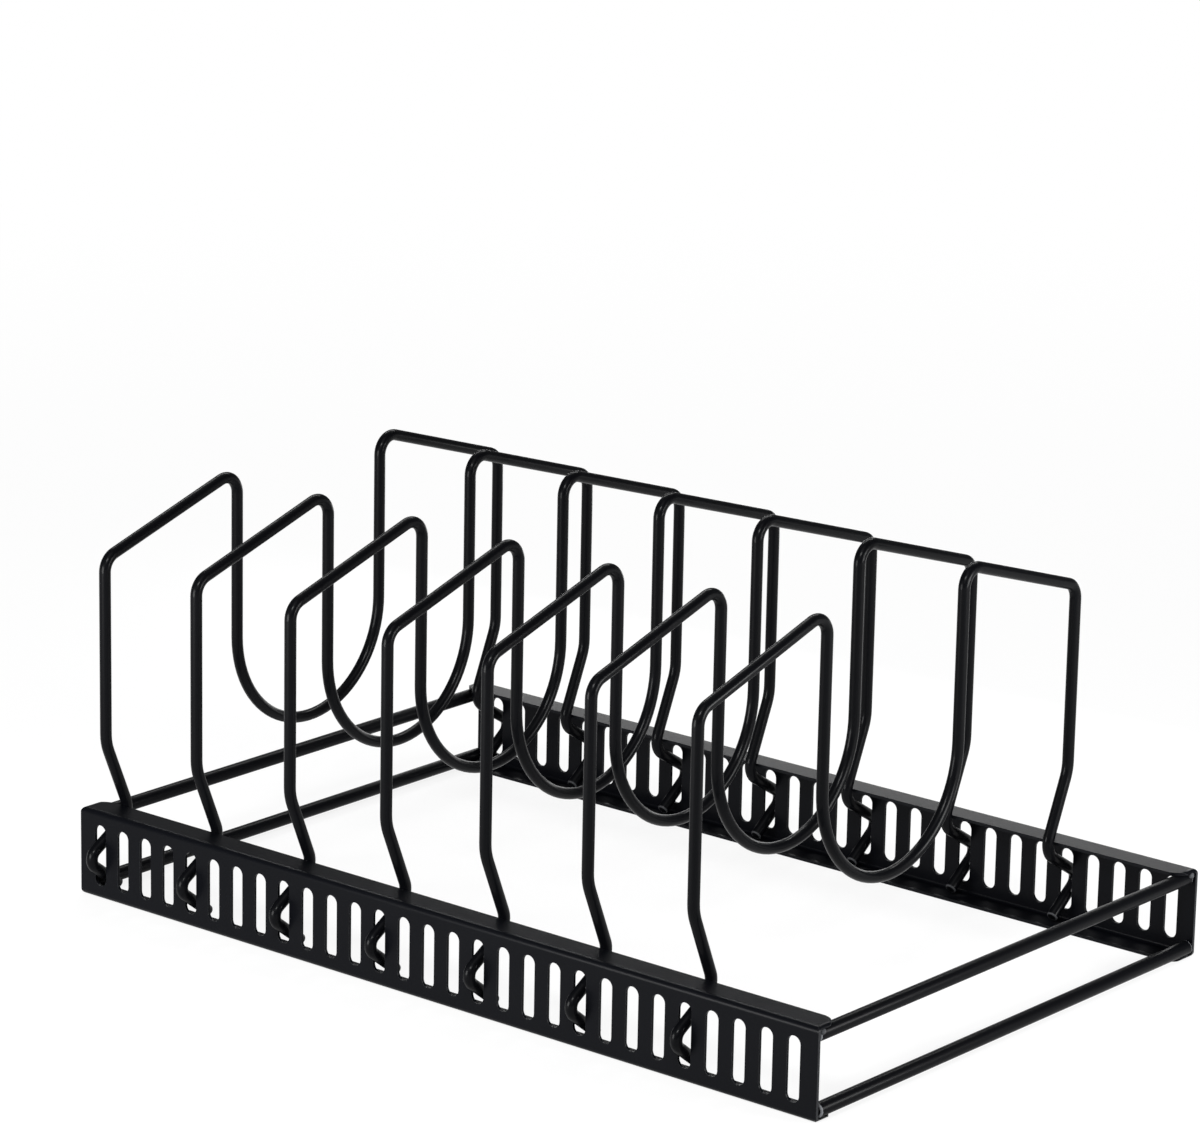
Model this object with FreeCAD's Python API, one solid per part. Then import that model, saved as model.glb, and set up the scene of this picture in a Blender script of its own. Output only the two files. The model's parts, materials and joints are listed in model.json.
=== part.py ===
import FreeCAD, Part
import math
import os

# Pot lid rack: two slotted channel rails joined by four cross rods, with bent-wire
# dividers that clip into the slots. Millimetres, X along the rails, Z up.
# The origin is on the table, under the middle of the rack.

# Rails: folded sheet, web upright, flanges turned in towards the other rail
rack_width = 233.2            # over the outer faces of the two webs
rail_height = 35.2
flange_width = 11.7
sheet_thickness = 1.2
bend_inner_radius = 1.0
flange_corner_radius = 7.0    # free corners of the flanges, seen from above
web_corner_radius = 2.0       # ends of the web, seen from the side

# Slots along each web
slot_pitch = 12.0
slot_count = 29
slot_height = 24.4
slot_side_clearance = 0.65    # each side of the divider wire
end_margin = 10.6             # last slot's centre to the rail's end

# Cross rods, welded to the flanges at both ends of the rails
rod_diameter = 5.4
upper_rod_setback = 0.4       # upper rods' surface inside the rail's end
lower_rod_overhang = 0.8      # lower rods' surface beyond the rail's end
weld_length = 4.2
weld_width = 5.0
weld_height = 1.7
weld_offset = 0.8             # towards the middle of the rack, off the rod's axis
weld_round = 0.7

# Dividers
wire_diameter = 4.5
divider_count = 7
first_divider_slot = 1
slots_between_dividers = 4
seat_clearance = 0.3          # wire to the flange edge that it clips round
outer_leg_span = 226.6        # between the centrelines of the two outer legs
knee_rise = 26.8              # knee above the top of the rail
outer_shoulder_height = 134.8
inner_shoulder_height = 157.0
valley_width = 82.2           # between the centrelines of the two inner legs
valley_floor_height = 48.2
hook_reach = 7.7              # hook's corner outside the web
hook_drop = 0.2               # hook's corner below the middle of the web
tail_inset = 8.4              # wire's end inside the web
tail_lift = 3.1               # wire's end above the lower flange
hook_radius = 4.0
foot_radius = 7.0
knee_radius = 18.0
shoulder_radius = 7.0

# Worked out from the sizes above
half_width = rack_width / 2
half_length = (slot_count - 1) * slot_pitch / 2 + end_margin
slot_width = wire_diameter + 2 * slot_side_clearance
wire_radius = wire_diameter / 2
rod_radius = rod_diameter / 2
bend_outer_radius = bend_inner_radius + sheet_thickness
web_inner_face = half_width - sheet_thickness
flange_edge = half_width - flange_width

vector = FreeCAD.Vector
axis_x = vector(1, 0, 0)
axis_y = vector(0, 1, 0)
axis_z = vector(0, 0, 1)


def rounded_path(points, radii, closed):
    """Straight runs through the points, joined by tangent arcs of the given radii."""
    count = len(points)
    entries, exits, middles = [], [], []
    for index, (corner, radius) in enumerate(zip(points, radii)):
        if radius == 0:
            entries.append(corner)
            exits.append(corner)
            middles.append(None)
            continue
        back = (points[index - 1] - corner).normalize()
        ahead = (points[(index + 1) % count] - corner).normalize()
        half_angle = back.getAngle(ahead) / 2
        reach = radius / math.tan(half_angle)
        inward = (back + ahead).normalize()
        centre = corner + inward * (radius / math.sin(half_angle))
        entries.append(corner + back * reach)
        exits.append(corner + ahead * reach)
        middles.append(centre - inward * radius)
    edges = []
    for index in range(count):
        if middles[index] is not None:
            edges.append(Part.Arc(entries[index], middles[index], exits[index]).toShape())
        following = (index + 1) % count
        if following == 0 and not closed:
            break
        if exits[index].distanceToPoint(entries[following]) > 1e-6:
            edges.append(Part.LineSegment(exits[index], entries[following]).toShape())
    return Part.Wire(edges)


def slot_cutter(x):
    """An upright slot with round ends, cut through one web."""
    end_radius = slot_width / 2
    low = (rail_height - slot_height) / 2
    high = low + slot_height
    outline = [vector(x - end_radius, 0, low), vector(x + end_radius, 0, low),
               vector(x + end_radius, 0, high), vector(x - end_radius, 0, high)]
    face = Part.Face(rounded_path(outline, [end_radius] * 4, True))
    face.translate(axis_y * (web_inner_face - sheet_thickness))
    return face.extrude(axis_y * 3 * sheet_thickness)


def end_shaper():
    """The space that a rail's rounded ends are trimmed to."""
    top_view = [vector(-half_length, flange_edge, 0), vector(half_length, flange_edge, 0),
                vector(half_length, half_width, 0), vector(-half_length, half_width, 0)]
    corners = [flange_corner_radius, flange_corner_radius, 0, 0]
    plate = Part.Face(rounded_path(top_view, corners, True)).extrude(axis_z * rail_height)
    side_view = [vector(-half_length, flange_edge, 0), vector(half_length, flange_edge, 0),
                 vector(half_length, flange_edge, rail_height),
                 vector(-half_length, flange_edge, rail_height)]
    side = Part.Face(rounded_path(side_view, [web_corner_radius] * 4, True))
    return plate.common(side.extrude(axis_y * flange_width))


def far_rail():
    """The rail at +Y, as one folded sheet with its row of slots."""
    section = [vector(-half_length, flange_edge, 0),
               vector(-half_length, half_width, 0),
               vector(-half_length, half_width, rail_height),
               vector(-half_length, flange_edge, rail_height),
               vector(-half_length, flange_edge, rail_height - sheet_thickness),
               vector(-half_length, web_inner_face, rail_height - sheet_thickness),
               vector(-half_length, web_inner_face, sheet_thickness),
               vector(-half_length, flange_edge, sheet_thickness)]
    outer, inner = bend_outer_radius, bend_inner_radius
    channel = Part.Face(rounded_path(section, [0, outer, outer, 0, 0, inner, inner, 0], True))
    rail = channel.extrude(axis_x * 2 * half_length).common(end_shaper())
    cutters = [slot_cutter(slot_position(number + 1)) for number in range(slot_count)]
    return rail.cut(Part.makeCompound(cutters))


def slot_position(number):
    """X of a slot, counted from 1 at the -X end."""
    return (number - (slot_count + 1) / 2) * slot_pitch


def weld_bead():
    """A bead on the lower flange, at the +Y end of a rod whose axis is at X = 0."""
    start = web_inner_face - bend_inner_radius - weld_length
    bead = Part.makeBox(weld_width, weld_length, weld_height,
                        vector(-weld_width / 2, start, 0))
    upper_edges = [edge for edge in bead.Edges if edge.BoundBox.ZMax > weld_height / 2]
    return bead.makeFillet(weld_round, upper_edges)


def cross_rod(x, side, upper):
    """A round rod from channel to channel, lying on the flanges, with its two beads."""
    length = 2 * (web_inner_face - bend_inner_radius)
    rod = Part.makeCylinder(rod_radius, length, vector(0, -length / 2, rod_radius), axis_y)
    bead = weld_bead()
    bead.translate(axis_x * (-side * weld_offset))
    rod = rod.fuse([bead, bead.mirror(vector(0, 0, 0), axis_y)]).removeSplitter()
    if upper:
        rod = rod.mirror(vector(0, 0, 0), axis_z)
        rod.translate(vector(x, 0, rail_height - sheet_thickness))
    else:
        rod.translate(vector(x, 0, sheet_thickness))
    return rod


def tangent_angle(across, along, radius):
    """Angle from the vertical of a line from a point, tangent to the foot's arc."""
    return math.atan2(across, along) + math.asin(radius / math.hypot(across, along))


def half_outline():
    """Corners and bend radii of half a divider, from the wire's end to the valley."""
    foot_centre_y = flange_edge - seat_clearance - wire_radius + foot_radius
    foot_centre_z = rail_height - sheet_thickness / 2
    hook_y = half_width + hook_reach
    hook_z = rail_height / 2 - hook_drop
    knee_y = outer_leg_span / 2
    knee_z = rail_height + knee_rise
    below = tangent_angle(hook_y - foot_centre_y, foot_centre_z - hook_z, foot_radius)
    above = tangent_angle(knee_y - foot_centre_y, knee_z - foot_centre_z, foot_radius)
    corner_distance = foot_radius / math.cos((below + above) / 2)
    foot_y = foot_centre_y - corner_distance * math.cos((below - above) / 2)
    foot_z = foot_centre_z - corner_distance * math.sin((below - above) / 2)
    inner_y = valley_width / 2
    corners = [(web_inner_face - tail_inset, sheet_thickness + tail_lift, 0),
               (hook_y, hook_z, hook_radius),
               (foot_y, foot_z, foot_radius),
               (knee_y, knee_z, knee_radius),
               (knee_y, outer_shoulder_height, shoulder_radius),
               (inner_y, inner_shoulder_height, shoulder_radius),
               (inner_y, valley_floor_height, inner_y)]
    return corners


def divider(x):
    """One bent wire: hook, foot, knee, shoulders, valley, and the same mirrored."""
    half = half_outline()
    full = half + [(-y, z, radius) for y, z, radius in reversed(half)]
    points = [vector(0, y, z) for y, z, radius in full]
    path = rounded_path(points, [radius for y, z, radius in full], False)
    first = (points[1] - points[0]).normalize()
    section = Part.Wire(Part.makeCircle(wire_radius, points[0], first))
    wire = path.makePipeShell([section], True, False)
    swept = math.pi * wire_radius ** 2 * path.Length
    print("divider", round(path.Length, 1), "mm of wire, volume against sweep",
          round(wire.Volume / swept, 4))
    wire.translate(axis_x * x)
    return wire


def pieces():
    """Every piece of the rack by its name."""
    rail = far_rail()
    found = {"rail_far": rail, "rail_near": rail.mirror(vector(0, 0, 0), axis_y)}
    lower_x = half_length + lower_rod_overhang - rod_radius
    upper_x = half_length - upper_rod_setback - rod_radius
    for end, side in (("left", -1), ("right", 1)):
        found["rod_" + end + "_lower"] = cross_rod(side * lower_x, side, False)
        found["rod_" + end + "_upper"] = cross_rod(side * upper_x, side, True)
    for number in range(divider_count):
        slot = first_divider_slot + number * slots_between_dividers
        found["divider_" + str(number + 1)] = divider(slot_position(slot))
    return found


os.makedirs("parts", exist_ok=True)
for name, shape in pieces().items():
    if shape.ShapeType != "Solid":
        shape = shape.Solids[0]
    print(name, shape.isValid(), round(shape.Volume), shape.BoundBox)
    shape.exportStep("parts/" + name + ".step")
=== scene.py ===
import bmesh
import bpy
import json
import math
from mathutils import Matrix, Quaternion, Vector, noise


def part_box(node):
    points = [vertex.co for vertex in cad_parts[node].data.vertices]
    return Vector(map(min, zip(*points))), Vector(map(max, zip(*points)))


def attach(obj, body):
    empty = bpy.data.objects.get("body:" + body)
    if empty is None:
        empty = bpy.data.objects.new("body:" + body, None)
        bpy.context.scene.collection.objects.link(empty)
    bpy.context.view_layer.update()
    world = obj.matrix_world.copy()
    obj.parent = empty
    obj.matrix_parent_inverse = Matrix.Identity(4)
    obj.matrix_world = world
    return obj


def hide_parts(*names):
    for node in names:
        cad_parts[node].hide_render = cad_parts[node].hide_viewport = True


# Pot lid rack: slotted channel rails, cross rods with their welds, bent wire dividers.
# Metres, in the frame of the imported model: right is +X, the near rail is at -Y.

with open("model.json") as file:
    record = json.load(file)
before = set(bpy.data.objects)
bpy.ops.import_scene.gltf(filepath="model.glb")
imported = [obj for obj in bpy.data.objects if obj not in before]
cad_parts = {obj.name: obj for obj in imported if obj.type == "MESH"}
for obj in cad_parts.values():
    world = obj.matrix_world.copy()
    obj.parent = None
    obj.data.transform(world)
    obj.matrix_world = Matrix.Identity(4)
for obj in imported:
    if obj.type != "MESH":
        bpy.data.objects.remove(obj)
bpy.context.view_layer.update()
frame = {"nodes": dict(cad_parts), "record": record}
nodes = frame["nodes"]
slotOf = {part["node"]: part["material_slot"] for part in frame["record"]["subparts"]}
print("frame loaded:", len(nodes), "nodes")

tiny = 1e-6  # below any real size here
thinAndHighlightLayer = "thinAndHighlight"  # face attribute: how thin the coat is, from 0 for the full coat; the greyer film it brings is partly a painted highlight


class Signal:  # a socket that can stand in an expression
    def __init__(self, shader, socket):
        self.shader = shader
        self.socket = socket

    def __add__(self, other):
        return self.shader.maths("ADD", self, other)

    def __mul__(self, other):
        return self.shader.maths("MULTIPLY", self, other)

    __radd__ = __add__
    __rmul__ = __mul__


class Shader:
    def __init__(self, name):
        self.material = bpy.data.materials.new(name)
        self.material.use_nodes = True
        self.tree = self.material.node_tree
        self.tree.nodes.clear()

    def node(self, kind, settings=None, sockets=None):
        made = self.tree.nodes.new(kind)
        for key, value in (settings or {}).items():
            setattr(made, key, value)
        for key, value in (sockets or {}).items():
            if isinstance(value, Signal):
                self.tree.links.new(value.socket, made.inputs[key])
            else:
                made.inputs[key].default_value = value
        return made

    def signal(self, kind, output, settings=None, sockets=None):
        return Signal(self, self.node(kind, settings, sockets).outputs[output])

    def maths(self, operation, first, second):
        return self.signal("ShaderNodeMath", 0, {"operation": operation}, {0: first, 1: second})

    def cloudy(self, place, size, detail):
        return self.signal("ShaderNodeTexNoise", "Fac", None,
                           {"Vector": place, "Scale": 1 / size, "Detail": detail})

    def mixed(self, share, first, second):  # of two colours
        return self.signal("ShaderNodeMix", 2, {"data_type": "RGBA"},
                           {0: share, 6: first, 7: second})

    def finish(self, surface):
        self.node("ShaderNodeOutputMaterial", None, {"Surface": surface})
        return self.material


# Powder coat: soft orange peel, a finer grain in it, a slow change of tone and sheen, and a
# thinner, greyer film on cut edges that is partly a painted highlight on rims and welds.
# Its base is dull, and a thin clear skin lies over it.
powder = {
    "cloudSize": 0.045, "cloudDetail": 3.0, "peelDetail": 2.0, "grainDetail": 1.0,
    "toneByCloud": 0.7, "toneByGrain": 0.3,
    "sheenByCloud": 0.6, "sheenByPeel": 0.4,
    "peelRise": 0.00006, "grainRise": 0.00003,
    # colour of the greyer film on edges and welds: a thinner coat, partly a painted highlight
    "thinFilmAndHighlight": (0.15, 0.155, 0.165, 1),
    "thinAndHighlightAnyway": 0.5,  # share of the thinning that doesn't follow the peel
}
coats = {
    "rail_coat": {"dark": (0.0015, 0.0017, 0.0025, 1), "light": (0.0025, 0.0028, 0.0040, 1),
                  "roughness": 0.37, "spread": 0.08, "peel": 0.30, "peelSize": 0.0013,
                  "grain": 0.45, "grainSize": 0.00050, "specular": 0.047,
                  "skin": 0.12, "skinRoughness": 0.16, "skinIor": 1.20},
    "rod_coat": {"dark": (0.0013, 0.0014, 0.0019, 1), "light": (0.0022, 0.0024, 0.0031, 1),
                 "roughness": 0.40, "spread": 0.08, "peel": 0.20, "peelSize": 0.0014,
                 "grain": 0.14, "grainSize": 0.00035, "specular": 0.035,
                 "skin": 0.08, "skinRoughness": 0.12, "skinIor": 1.24},
    "divider_coat": {"dark": (0.0012, 0.0013, 0.0018, 1), "light": (0.0020, 0.0022, 0.0029, 1),
                     "roughness": 0.38, "spread": 0.08, "peel": 0.18, "peelSize": 0.0013,
                     "grain": 0.12, "grainSize": 0.00035, "specular": 0.038,
                     "skin": 0.23, "skinRoughness": 0.10, "skinIor": 1.24},
}


def powderCoat(name, look):
    shader = Shader(name)
    place = shader.signal("ShaderNodeTexCoord", "Object")
    cloud = shader.cloudy(place, powder["cloudSize"], powder["cloudDetail"])
    peel = shader.cloudy(place, look["peelSize"], powder["peelDetail"])
    grain = shader.cloudy(place, look["grainSize"], powder["grainDetail"])
    tone = shader.mixed(powder["toneByCloud"] * cloud + powder["toneByGrain"] * grain,
                        look["dark"], look["light"])
    # where the greyer film goes: a thinner coat, partly a painted highlight
    thinAndHighlight = shader.signal("ShaderNodeAttribute", "Fac", {"attribute_name": thinAndHighlightLayer})
    tone = shader.mixed(thinAndHighlight * (powder["thinAndHighlightAnyway"] + peel), tone, powder["thinFilmAndHighlight"])
    lowest = look["roughness"] - look["spread"] / 2
    uneven = powder["sheenByCloud"] * cloud + powder["sheenByPeel"] * peel
    peelNormal = shader.signal("ShaderNodeBump", "Normal", None,
                               {"Height": peel, "Strength": look["peel"],
                                "Distance": powder["peelRise"]})
    grainNormal = shader.signal("ShaderNodeBump", "Normal", None,
                                {"Height": grain, "Strength": look["grain"],
                                 "Distance": powder["grainRise"], "Normal": peelNormal})
    return shader.finish(shader.signal(
        "ShaderNodeBsdfPrincipled", "BSDF", None,
        {"Base Color": tone, "Roughness": lowest + look["spread"] * uneven,
         "Normal": grainNormal, "Specular IOR Level": look["specular"],
         "Coat Weight": look["skin"], "Coat Roughness": look["skinRoughness"],
         "Coat IOR": look["skinIor"]}))


finishes = {name: powderCoat(name, look) for name, look in coats.items()}
for name, node in nodes.items():
    node.data.materials.clear()
    node.data.materials.append(finishes[slotOf[name]])
print("finishes made:", ", ".join(finishes))


# For every piece, in degrees: CAD faces that are flat to within the first angle are joined,
# and the shading is smooth over edges up to the second
surfaces = {"flatWithin": 0.3, "smoothUpTo": 50}


def mergedCopy(name):  # a CAD node's triangles joined up, flat areas made whole
    shape = bmesh.new()
    shape.from_mesh(nodes[name].data)
    shape.faces.layers.float.new(thinAndHighlightLayer)
    bmesh.ops.remove_doubles(shape, verts=shape.verts, dist=tiny)
    bmesh.ops.dissolve_limit(shape, angle_limit=math.radians(surfaces["flatWithin"]),
                             verts=shape.verts, edges=shape.edges)
    return shape


# paints the greyer film on these faces: a thinner coat, partly a painted highlight
def paintThinCoatAndHighlight(shape, faces, amount):
    layer = shape.faces.layers.float[thinAndHighlightLayer]
    for face in faces:
        face[layer] = amount


def roundEdges(shape, look):  # a small round on every edge that is sharper than the limit
    sharp = [edge for edge in shape.edges
             if edge.calc_face_angle(0) > math.radians(look["sharpAngle"])]
    rounded = bmesh.ops.bevel(shape, geom=sharp, offset=look["edgeRound"],
                              offset_type="OFFSET", segments=look["edgeSteps"], profile=0.5,
                              affect="EDGES", clamp_overlap=True, material=-1)["faces"]
    paintThinCoatAndHighlight(shape, rounded, look["edgeThinAndHighlight"])


def makePiece(name, shape, node):
    mesh = bpy.data.meshes.new(name)
    shape.to_mesh(mesh)
    shape.free()
    for spare in ("custom_normal", "sharp_edge", "sharp_face"):  # the CAD triangles' shading
        if spare in mesh.attributes:
            mesh.attributes.remove(mesh.attributes[spare])
    mesh.shade_smooth()
    mesh.set_sharp_from_angle(angle=math.radians(surfaces["smoothUpTo"]))
    mesh.materials.append(finishes[slotOf[node]])
    piece = bpy.data.objects.new(name, mesh)
    bpy.context.scene.collection.objects.link(piece)
    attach(piece, "root")
    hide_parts(node)
    return piece


# Rails: every cut edge of the sheet slightly rounded. The coat is nearly full on the flanges'
# free edges, thinner on the rails' ends and thinnest on the slots' edges; the greyer film
# there is partly a painted highlight on the rims.
rails = {
    "edgeRound": 0.00040, "edgeSteps": 3, "sharpAngle": 40,
    "edgeThinAndHighlight": 0.24, "flangeThinAndHighlight": 0.02, "endThinAndHighlight": 0.10,
    "endDepth": 0.0005,  # a face no further in than this, turned along the rail, is a cut end
    "endFacing": 0.95,
}


def makeRail(node):
    shape = mergedCopy(node)
    roundEdges(shape, rails)
    low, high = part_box(node)
    flangeEdge = min(abs(low.y), abs(high.y)) + rails["edgeRound"]
    cutEnd = high.x - rails["endDepth"]
    middles = {face: face.calc_center_median() for face in shape.faces}
    onFlange = [face for face, middle in middles.items() if abs(middle.y) < flangeEdge]
    onEnd = [face for face, middle in middles.items()
             if abs(middle.x) > cutEnd and abs(face.normal.x) > rails["endFacing"]]
    paintThinCoatAndHighlight(shape, onFlange, rails["flangeThinAndHighlight"])
    paintThinCoatAndHighlight(shape, onEnd, rails["endThinAndHighlight"])
    piece = makePiece(node + "_coated", shape, node)
    evened = piece.modifiers.new("even faces", "WEIGHTED_NORMAL")
    evened.keep_sharp = True


for node in ("rail_near", "rail_far"):
    makeRail(node)
print("rails rounded")


# Cross rods: round bar with eased ends. At each end one uneven bead of weld lies on the
# flange beside the rod. The upper rods have a small one more, outside, beside the web.
rods = {
    # the greyer film on the eased ends, beads and tacks is a thinner coat, partly a painted
    # highlight
    "sides": 56, "endRound": 0.0007, "endSteps": 4, "endThinAndHighlight": 0.8,
    "bead": (0.0050, 0.0044, 0.0040), "beadThinAndHighlight": 0.10,
    "beadIn": 0.0023,     # in from the rod's end
    "beadAside": 0.0010,  # towards the middle of the rack, off the rod's axis
    "tack": (0.0027, 0.0026, 0.0024), "tackThinAndHighlight": 0.30,
    "tackIn": 0.0012,
    "tackAside": 0.0021,  # away from the middle of the rack
    "tackDrop": 0.0011,   # below the flange
    "lumpSize": 0.0014, "lumpDepth": 0.16, "smoothness": 4,
    "seed": (3.1, 1.7, 5.3),  # sets one weld's lumps apart from another's
}


def addBead(shape, middle, size, seed, thinAndHighlight):  # a ball drawn out to the size, with lumps
    drop = bmesh.ops.create_icosphere(shape, subdivisions=rods["smoothness"],
                                      radius=0.5)["verts"]
    bmesh.ops.scale(shape, verts=drop, vec=size)
    for vert in drop:
        vert.co *= 1 + rods["lumpDepth"] * noise.noise(vert.co / rods["lumpSize"] + seed)
    bmesh.ops.translate(shape, verts=drop, vec=middle)
    paintThinCoatAndHighlight(shape, {face for vert in drop for face in vert.link_faces}, thinAndHighlight)
    return drop


def easedBar(length, radius, middle):  # a round bar along Y with rounded rims
    shape = bmesh.new()
    shape.faces.layers.float.new(thinAndHighlightLayer)
    along = Matrix.Translation(middle) @ Matrix.Rotation(math.radians(90), 4, "X")
    bmesh.ops.create_cone(shape, cap_ends=True, segments=rods["sides"], radius1=radius,
                          radius2=radius, depth=length, matrix=along)
    rims = [edge for edge in shape.edges
            if abs(edge.verts[0].co.y - edge.verts[1].co.y) < tiny]
    eased = bmesh.ops.bevel(shape, geom=rims, offset=rods["endRound"], offset_type="OFFSET",
                            segments=rods["endSteps"], profile=0.5, affect="EDGES",
                            material=-1)["faces"]
    paintThinCoatAndHighlight(shape, eased, rods["endThinAndHighlight"])
    return shape


def makeRod(node, upper, outward):
    low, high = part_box(node)
    length = high.y - low.y
    radius = (high.z - low.z) / 2
    axisX = high.x - radius if outward > 0 else low.x + radius
    seat = high.z if upper else low.z  # the flange's face that the rod lies on
    shape = easedBar(length, radius, (axisX, 0, (low.z + high.z) / 2))
    for side in (-1, 1):
        seed = Vector(rods["seed"]) * Vector((side, outward, upper))
        middle = Vector((axisX - outward * rods["beadAside"],
                         side * (length / 2 - rods["beadIn"]), seat))
        for vert in addBead(shape, middle, rods["bead"], seed, rods["beadThinAndHighlight"]):
            vert.co.z = min(max(vert.co.z, low.z), high.z)  # pressed flat on the flange
        if upper:
            middle = Vector((axisX + outward * rods["tackAside"],
                             side * (length / 2 - rods["tackIn"]), seat - rods["tackDrop"]))
            addBead(shape, middle, rods["tack"], seed * 2, rods["tackThinAndHighlight"])
    bmesh.ops.recalc_face_normals(shape, faces=shape.faces)
    makePiece(node + "_welded", shape, node)


for node in [name for name in nodes if name.startswith("rod_")]:
    makeRod(node, "upper" in node, 1 if "right" in node else -1)
print("rods and welds made")


# Dividers: the wire's cut ends eased
# the greyer film on the eased ends is a thinner coat, partly a painted highlight
dividers = {"edgeRound": 0.00055, "edgeSteps": 3, "sharpAngle": 40, "edgeThinAndHighlight": 0.25}

for node in [name for name in nodes if name.startswith("divider_")]:
    shape = mergedCopy(node)
    roundEdges(shape, dividers)
    makePiece(node + "_eased", shape, node)
print("dividers eased")


# Floor: plain and pale. Near the rack it keeps some of its shading, with the rack's shadow,
# and further out it turns plain white for the camera and for reflections.
ground = {
    "size": 60.0, "colour": (0.93, 0.93, 0.93, 1), "specular": 0.1,
    "roughness": 0.75, "roughnessSpread": 0.1, "speckSize": 0.0025, "speckDetail": 2.0,
    "whiteNear": 0.84,             # share of plain white near the rack
    "whiteFrom": (0.30, 1.40),     # distances over which that share rises to all
}


def makeFloor():
    shape = bmesh.new()
    bmesh.ops.create_grid(shape, x_segments=1, y_segments=1, size=ground["size"] / 2)
    mesh = bpy.data.meshes.new("floor")
    shape.to_mesh(mesh)
    shape.free()
    floor = bpy.data.objects.new("floor", mesh)
    bpy.context.scene.collection.objects.link(floor)
    shader = Shader("pale floor")
    place = shader.signal("ShaderNodeTexCoord", "Object")
    speck = shader.cloudy(place, ground["speckSize"], ground["speckDetail"])
    lit = shader.signal("ShaderNodeBsdfPrincipled", "BSDF", None,
                        {"Base Color": ground["colour"],
                         "Roughness": ground["roughness"] + ground["roughnessSpread"] * speck,
                         "Specular IOR Level": ground["specular"]})
    white = shader.signal("ShaderNodeEmission", "Emission", None, {"Strength": 1.0})
    rays = shader.node("ShaderNodeLightPath")
    seen = [Signal(shader, rays.outputs[kind])
            for kind in ("Is Camera Ray", "Is Glossy Ray", "Is Transmission Ray")]
    anySeen = shader.maths("MINIMUM", seen[0] + seen[1] + seen[2], 1.0)
    away = shader.signal("ShaderNodeVectorMath", "Value", {"operation": "LENGTH"}, {0: place})
    whiteShare = shader.signal("ShaderNodeMapRange", 0, {"interpolation_type": "SMOOTHSTEP"},
                               {"Value": away, "From Min": ground["whiteFrom"][0],
                                "From Max": ground["whiteFrom"][1],
                                "To Min": ground["whiteNear"], "To Max": 1.0})
    mesh.materials.append(shader.finish(shader.signal(
        "ShaderNodeMixShader", "Shader", None, {0: anySeen * whiteShare, 1: lit, 2: white})))


# Lamps: place, the point that it looks at, width and height, watts
lamps = {
    # over the rods, wires and flanges from the back
    "behind": ((-0.85, 1.05, 1.40), (0, 0, 0.08), (1.5, 0.18), 16.0),
    # low strip close to the far rail, for the bright line on bends that face up
    "backdrop": ((-0.17, 0.34, 0.09), (-0.14, 0, 0.07), (0.5, 0.05), 0.34),
    # soft light down each side of the wires
    "left": ((-0.17, -0.64, 0.15), (0, 0, 0.15), (0.32, 0.24), 4.4),
    "right": ((0.64, 0.17, 0.18), (0, 0, 0.18), (0.32, 0.20), 4.6),
    # from above, weak
    "over": ((0.25, -0.45, 1.5), (0, 0, 0.05), (0.9, 0.6), 1.5),
    # the hooks and the lower rims of the slots
    "key": ((0.53, -0.92, 1.06), (0, 0, 0.05), (0.45, 0.3), 14.0),
}


def makeLamp(name, place, target, size, watts):
    lamp = bpy.data.lights.new(name, "AREA")
    lamp.shape = "RECTANGLE"
    lamp.size, lamp.size_y = size
    lamp.energy = watts
    holder = bpy.data.objects.new(name, lamp)
    holder.location = place
    aim = Vector(target) - Vector(place)
    holder.rotation_euler = aim.to_track_quat("-Z", "Y").to_euler()
    holder.visible_camera = False
    bpy.context.scene.collection.objects.link(holder)


sky = {"colour": (0.97, 0.98, 1.0, 1), "strength": 0.14}


def makeSky():
    world = bpy.data.worlds.new("studio")
    world.use_nodes = True
    background = world.node_tree.nodes["Background"]
    background.inputs["Color"].default_value = sky["colour"]
    background.inputs["Strength"].default_value = sky["strength"]
    bpy.context.scene.world = world


# Camera: where the photograph was taken from
view = {
    "target": (-0.0112, -0.0093, 0.1428),
    "azimuth": 39.58,       # degrees round from -Y towards +X
    "elevation": 15.32,
    "roll": 1.13,
    "distance": 1.9466,
    "lens": 156.2, "sensor": 36,  # millimetres
    "nearest": 0.05, "farthest": 90,
}


def makeCamera():
    lens = bpy.data.cameras.new("camera")
    lens.lens = view["lens"]
    lens.sensor_width = view["sensor"]
    lens.clip_start = view["nearest"]
    lens.clip_end = view["farthest"]
    around, up = math.radians(view["azimuth"]), math.radians(view["elevation"])
    back = Vector((math.sin(around) * math.cos(up), -math.cos(around) * math.cos(up),
                   math.sin(up)))
    holder = bpy.data.objects.new("camera", lens)
    holder.location = Vector(view["target"]) + back * view["distance"]
    turn = (-back).to_track_quat("-Z", "Y") @ Quaternion((0, 0, 1), math.radians(view["roll"]))
    holder.rotation_euler = turn.to_euler()
    bpy.context.scene.collection.objects.link(holder)
    bpy.context.scene.camera = holder


makeFloor()
for name, values in lamps.items():
    makeLamp(name, *values)
makeSky()
makeCamera()
bpy.context.scene.view_settings.view_transform = "Standard"
print("studio ready")
